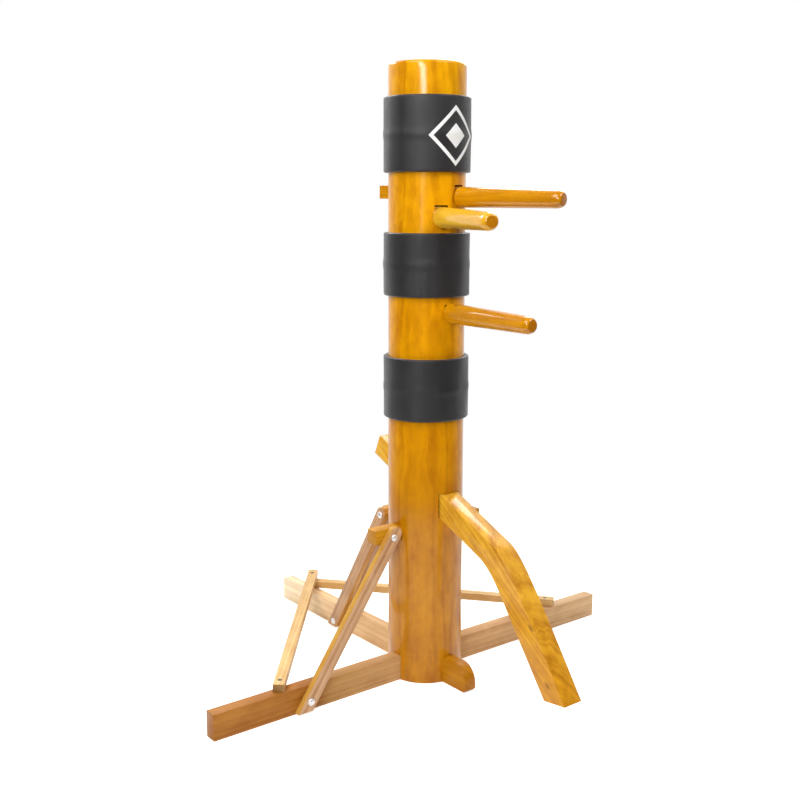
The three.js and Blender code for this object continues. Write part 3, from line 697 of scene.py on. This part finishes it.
def make_pad(name, seed, material, tape):
    low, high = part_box(name + "_cover")
    outer = high.x
    inner = TRUNK_RADIUS + PAD_CLEARANCE
    bottom, top = low.z, high.z
    steps = 36
    roll = PAD_ROLL
    face = []
    for i in range(1, steps):
        face.append((outer, bottom + roll + (top - bottom - 2 * roll) * i / steps))
    profile = [
        *arc(inner + PAD_SKIN_ROUND, bottom + PAD_SKIN_ROUND, PAD_SKIN_ROUND, 180, 270, 4),
        *arc(outer - roll, bottom + roll, roll, -90, 0, 6),
        *face,
        *arc(outer - roll, top - roll, roll, 0, 90, 6),
        *arc(inner + PAD_SKIN_ROUND, top - PAD_SKIN_ROUND, PAD_SKIN_ROUND, 90, 180, 4),
    ]

    def skin(radius, z, angle):
        share = (radius - inner) / (outer - inner)
        return inner + (pad_radius(outer, z, angle, bottom, top, seed) - inner) * share

    mesh = finished(turned(profile, PAD_SIDES, skin))
    sleeve = link(name + "_sleeve", mesh, material, name + "_cover", [name + "_cover", name + "_foam"],
                  60.0)

    strip_low, strip_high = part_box(name + "_closure")
    half = math.asin(strip_high.x / strip_high.y)
    strip(name + "_flap", name + "_closure", outer + HAIR * 2, strip_high.y, half,
          strip_low.z, strip_high.z, tape)


def strip(name, node, inner, outer, half, bottom, top, material):
    """A curved fastening strip with rounded edges and corners."""
    bm = bmesh.new()
    columns, rows = 32, 40
    grid = {}
    thick = outer - inner
    for side in (0, 1):
        for i in range(columns + 1):
            for j in range(rows + 1):
                u = 2 * i / columns - 1
                v = 2 * j / rows - 1
                angle = math.pi / 2 + half * u
                edge = max(abs(u) ** 10, abs(v) ** 14)
                radius = outer - thick * 0.45 * edge if side else inner
                z = bottom + (top - bottom) * (v + 1) / 2
                grid[side, i, j] = bm.verts.new((radius * math.cos(angle), radius * math.sin(angle), z))
    for i in range(columns):
        for j in range(rows):
            for side in (0, 1):
                bm.faces.new([grid[side, a, b] for a, b in ((i, j), (i + 1, j), (i + 1, j + 1), (i, j + 1))])
    for i in range(columns):
        for j in (0, rows):
            bm.faces.new([grid[0, i, j], grid[0, i + 1, j], grid[1, i + 1, j], grid[1, i, j]])
    for j in range(rows):
        for i in (0, columns):
            bm.faces.new([grid[0, i, j], grid[0, i, j + 1], grid[1, i, j + 1], grid[1, i, j]])
    piece = link(name, finished(bm), material, node, [node], 50.0)


def make_pads():
    skin = leatherette("pad_leatherette", (0.020, 0.0185, 0.020, 1), 0.36)
    tape = leatherette("flap_leatherette", (0.022, 0.021, 0.023, 1), 0.5)
    for index, name in enumerate(PADS):
        make_pad(name, 2.0 * index, skin, tape)


make_pads()

# ---------------------------------------------------------------- emblem

EMBLEM_HEIGHT = 1.508
EMBLEM_HALF = 0.078
EMBLEM_LINE = 0.013
EMBLEM_CENTRE = 0.032
EMBLEM_LIFT = 0.0003


def emblem_rhombus(outer, inner, material, name):
    """A rhombus ring, or a filled rhombus when inner is 0, printed round the front of the upper pad."""
    low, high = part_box("pad_upper_cover")
    steps = 48
    loops = 10
    bm = bmesh.new()

    def printed(half, corner, t):
        a = math.pi / 2 * corner
        b = math.pi / 2 * (corner + 1)
        across = half * ((1 - t) * math.cos(a) + t * math.cos(b))
        z = EMBLEM_HEIGHT + half * ((1 - t) * math.sin(a) + t * math.sin(b))
        angle = -math.pi / 2 + across / high.x
        radius = pad_radius(high.x, z, angle, low.z, high.z, 0.0) + EMBLEM_LIFT
        return bm.verts.new((radius * math.cos(angle), radius * math.sin(angle), z))

    rows = []
    for k in range(loops + 1):
        half = outer + (inner - outer) * k / loops
        if half < 1e-6:
            rows.append([printed(0.0, 0, 0.0)])
        else:
            rows.append([printed(half, corner, i / steps) for corner in range(4) for i in range(steps)])
    count = 4 * steps
    for wide, narrow in zip(rows, rows[1:]):
        for i in range(count):
            j = (i + 1) % count
            if len(narrow) == 1:
                bm.faces.new((wide[i], wide[j], narrow[0]))
            else:
                bm.faces.new((wide[i], wide[j], narrow[j], narrow[i]))
    link(name, finished(bm), material, "pad_upper_cover", (), 80.0)


def make_emblem():
    white = ink("print_white", (0.86, 0.86, 0.85, 1))
    emblem_rhombus(EMBLEM_HALF, EMBLEM_HALF - EMBLEM_LINE, white, "emblem_border")
    emblem_rhombus(EMBLEM_CENTRE, 0.0, white, "emblem_centre")


make_emblem()

# ---------------------------------------------------------------- fasteners

DOME_RADIUS = 0.0105
DOME_HEIGHT = 0.005
SHANK_RADIUS = 0.004
PLAIN_SHANK = 0.034  # length under the head with no thread
THREAD_PITCH = 0.00125
THREAD_DEPTH = 0.0005


def make_bolt(label, head, inward, zinc):
    """A domed bolt head with its shank, whose end is ringed as a thread is."""
    place = Matrix.Translation(head) @ UP.rotation_difference(inward).to_matrix().to_4x4()
    low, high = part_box("bolt_" + label)
    length = max((high - low)[:]) - DOME_HEIGHT - HAIR
    dome = [(DOME_RADIUS * math.sin(a), -HAIR - DOME_HEIGHT * math.cos(a))
            for a in [math.pi / 2 * i / 10 for i in range(11)]]
    shank = [(DOME_RADIUS, -HAIR * 0.5), (DOME_RADIUS - 0.0006, 0), (SHANK_RADIUS, 0)]
    turns = int((length - PLAIN_SHANK) / THREAD_PITCH)
    thread = []
    for i in range(turns):
        z = PLAIN_SHANK + THREAD_PITCH * i
        thread += [(SHANK_RADIUS, z), (SHANK_RADIUS - THREAD_DEPTH, z + THREAD_PITCH / 2)]
    tail = [(SHANK_RADIUS - 0.0008, length), (0, length)]
    bolt = turned([*dome, *shank, *thread, *tail], 40)
    bmesh.ops.transform(bolt, matrix=place, verts=bolt.verts)
    node = "bolt_" + label
    link(node + "_dome", finished(bolt), zinc, node, [node], 35.0)


def make_fasteners():
    zinc = metal("zinc", (0.93, 0.93, 0.94, 1), 0.42)
    outer = -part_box("brace_left")[0].y
    for side in ("left", "right"):
        for end in ("foot", "top"):
            at = middle(f"nut_{side}_{end}")
            make_bolt(f"{side}_{end}", Vector((at.x, -outer, at.z)), Vector((0, 1, 0)), zinc)
    for end in ("foot", "top"):
        at = middle(f"nut_rear_{end}")
        make_bolt(f"rear_{end}", Vector((-outer, at.y, at.z)), Vector((1, 0, 0)), zinc)
    for node in NODES:
        if node.startswith(("washer", "nut")):
            refine(node, zinc, 0.0004, 2)
    dark = metal("dark_steel", (0.16, 0.14, 0.12, 1), 0.4)
    for node in ("screw_tie_left", "screw_tie_right", "screw_tie_rear"):
        refine(node, dark, 0.0003, 2)


make_fasteners()

# ---------------------------------------------------------------- studio


def area_light(name, place, target, width, height, power):
    data = bpy.data.lights.new(name, "AREA")
    data.shape = "RECTANGLE"
    data.size = width
    data.size_y = height
    data.energy = power
    light = bpy.data.objects.new(name, data)
    bpy.context.scene.collection.objects.link(light)
    light.location = place
    light.rotation_euler = (Vector(target) - place).to_track_quat("-Z", "Z").to_euler()


def make_world():
    """Pale behind the object, dim behind the camera, so the varnish has light edges and a deep middle."""
    world = bpy.data.worlds.new("studio")
    bpy.context.scene.world = world
    world.use_nodes = True
    tree = world.node_tree
    tree.nodes.clear()
    place = tree.nodes.new("ShaderNodeTexCoord").outputs["Generated"]
    facing = tree.nodes.new("ShaderNodeVectorMath")
    facing.operation = "DOT_PRODUCT"
    tree.links.new(place, facing.inputs[0])
    facing.inputs[1].default_value = -toward(CAMERA_AZIMUTH, 1, 0)
    spread = tree.nodes.new("ShaderNodeMapRange")
    spread.interpolation_type = "SMOOTHSTEP"
    tree.links.new(facing.outputs["Value"], spread.inputs["Value"])
    spread.inputs["From Min"].default_value = -0.1
    spread.inputs["From Max"].default_value = 0.8
    spread.inputs["To Min"].default_value = 0.04
    spread.inputs["To Max"].default_value = 0.95
    room = tree.nodes.new("ShaderNodeBackground")
    room.inputs["Color"].default_value = (1, 1, 1, 1)
    tree.links.new(spread.outputs[0], room.inputs["Strength"])
    seen = tree.nodes.new("ShaderNodeBackground")
    seen.inputs["Color"].default_value = (1, 1, 1, 1)
    rays = tree.nodes.new("ShaderNodeLightPath")
    mix = tree.nodes.new("ShaderNodeMixShader")
    tree.links.new(rays.outputs["Is Camera Ray"], mix.inputs[0])
    tree.links.new(room.outputs[0], mix.inputs[1])
    tree.links.new(seen.outputs[0], mix.inputs[2])
    output = tree.nodes.new("ShaderNodeOutputWorld")
    tree.links.new(mix.outputs[0], output.inputs["Surface"])


FLOOR_RADIUS = 1.75


def make_floor():
    bm = bmesh.new()
    under = Matrix.Translation((0, 0, -0.0004))
    bmesh.ops.create_circle(bm, cap_ends=True, segments=96, radius=FLOOR_RADIUS, matrix=under)
    floor = bpy.data.objects.new("floor", finished(bm))
    bpy.context.scene.collection.objects.link(floor)
    g = Graph("floor_paper", Roughness=0.9)
    seen = g.add("ShaderNodeLightPath").outputs["Is Camera Ray"]
    g.set(g.shader.inputs["Emission Strength"], g.math("MULTIPLY_ADD", seen, 0.45, 0.15))
    g.set(g.shader.inputs["Emission Color"], (1, 1, 1, 1))
    fibres = g.noise(g.place, 40.0, 4.0, 0.6)
    g.set(g.shader.inputs["Base Color"], g.mix(fibres, (0.86, 0.86, 0.86, 1), (0.9, 0.9, 0.9, 1)))
    g.shader.inputs["Specular IOR Level"].default_value = 0.1
    floor.data.materials.append(g.material)


def make_studio():
    bpy.context.scene.view_settings.view_transform = "Standard"
    target = (0, 0, 0.85)
    area_light("key", toward(math.radians(-78), 2.4, 3.6), target, 2.0, 1.8, 72)
    area_light("fill", toward(math.radians(17), 2.4, 3.6), target, 2.0, 1.8, 68)
    area_light("back_right", toward(math.radians(125), 2.4, 3.0), target, 2.0, 1.0, 44)
    area_light("back_left", toward(math.radians(190), 2.4, 2.8), target, 1.8, 0.8, 44)
    area_light("strip", toward(math.radians(-54), 3.3, 2.15), (0, 0, 1.5), 0.5, 1.4, 50)
    area_light("strip_low", toward(math.radians(-54), 3.3, 1.25), (0, 0, 1.3), 0.5, 0.5, 1.5)
    make_world()
    make_floor()


make_studio()
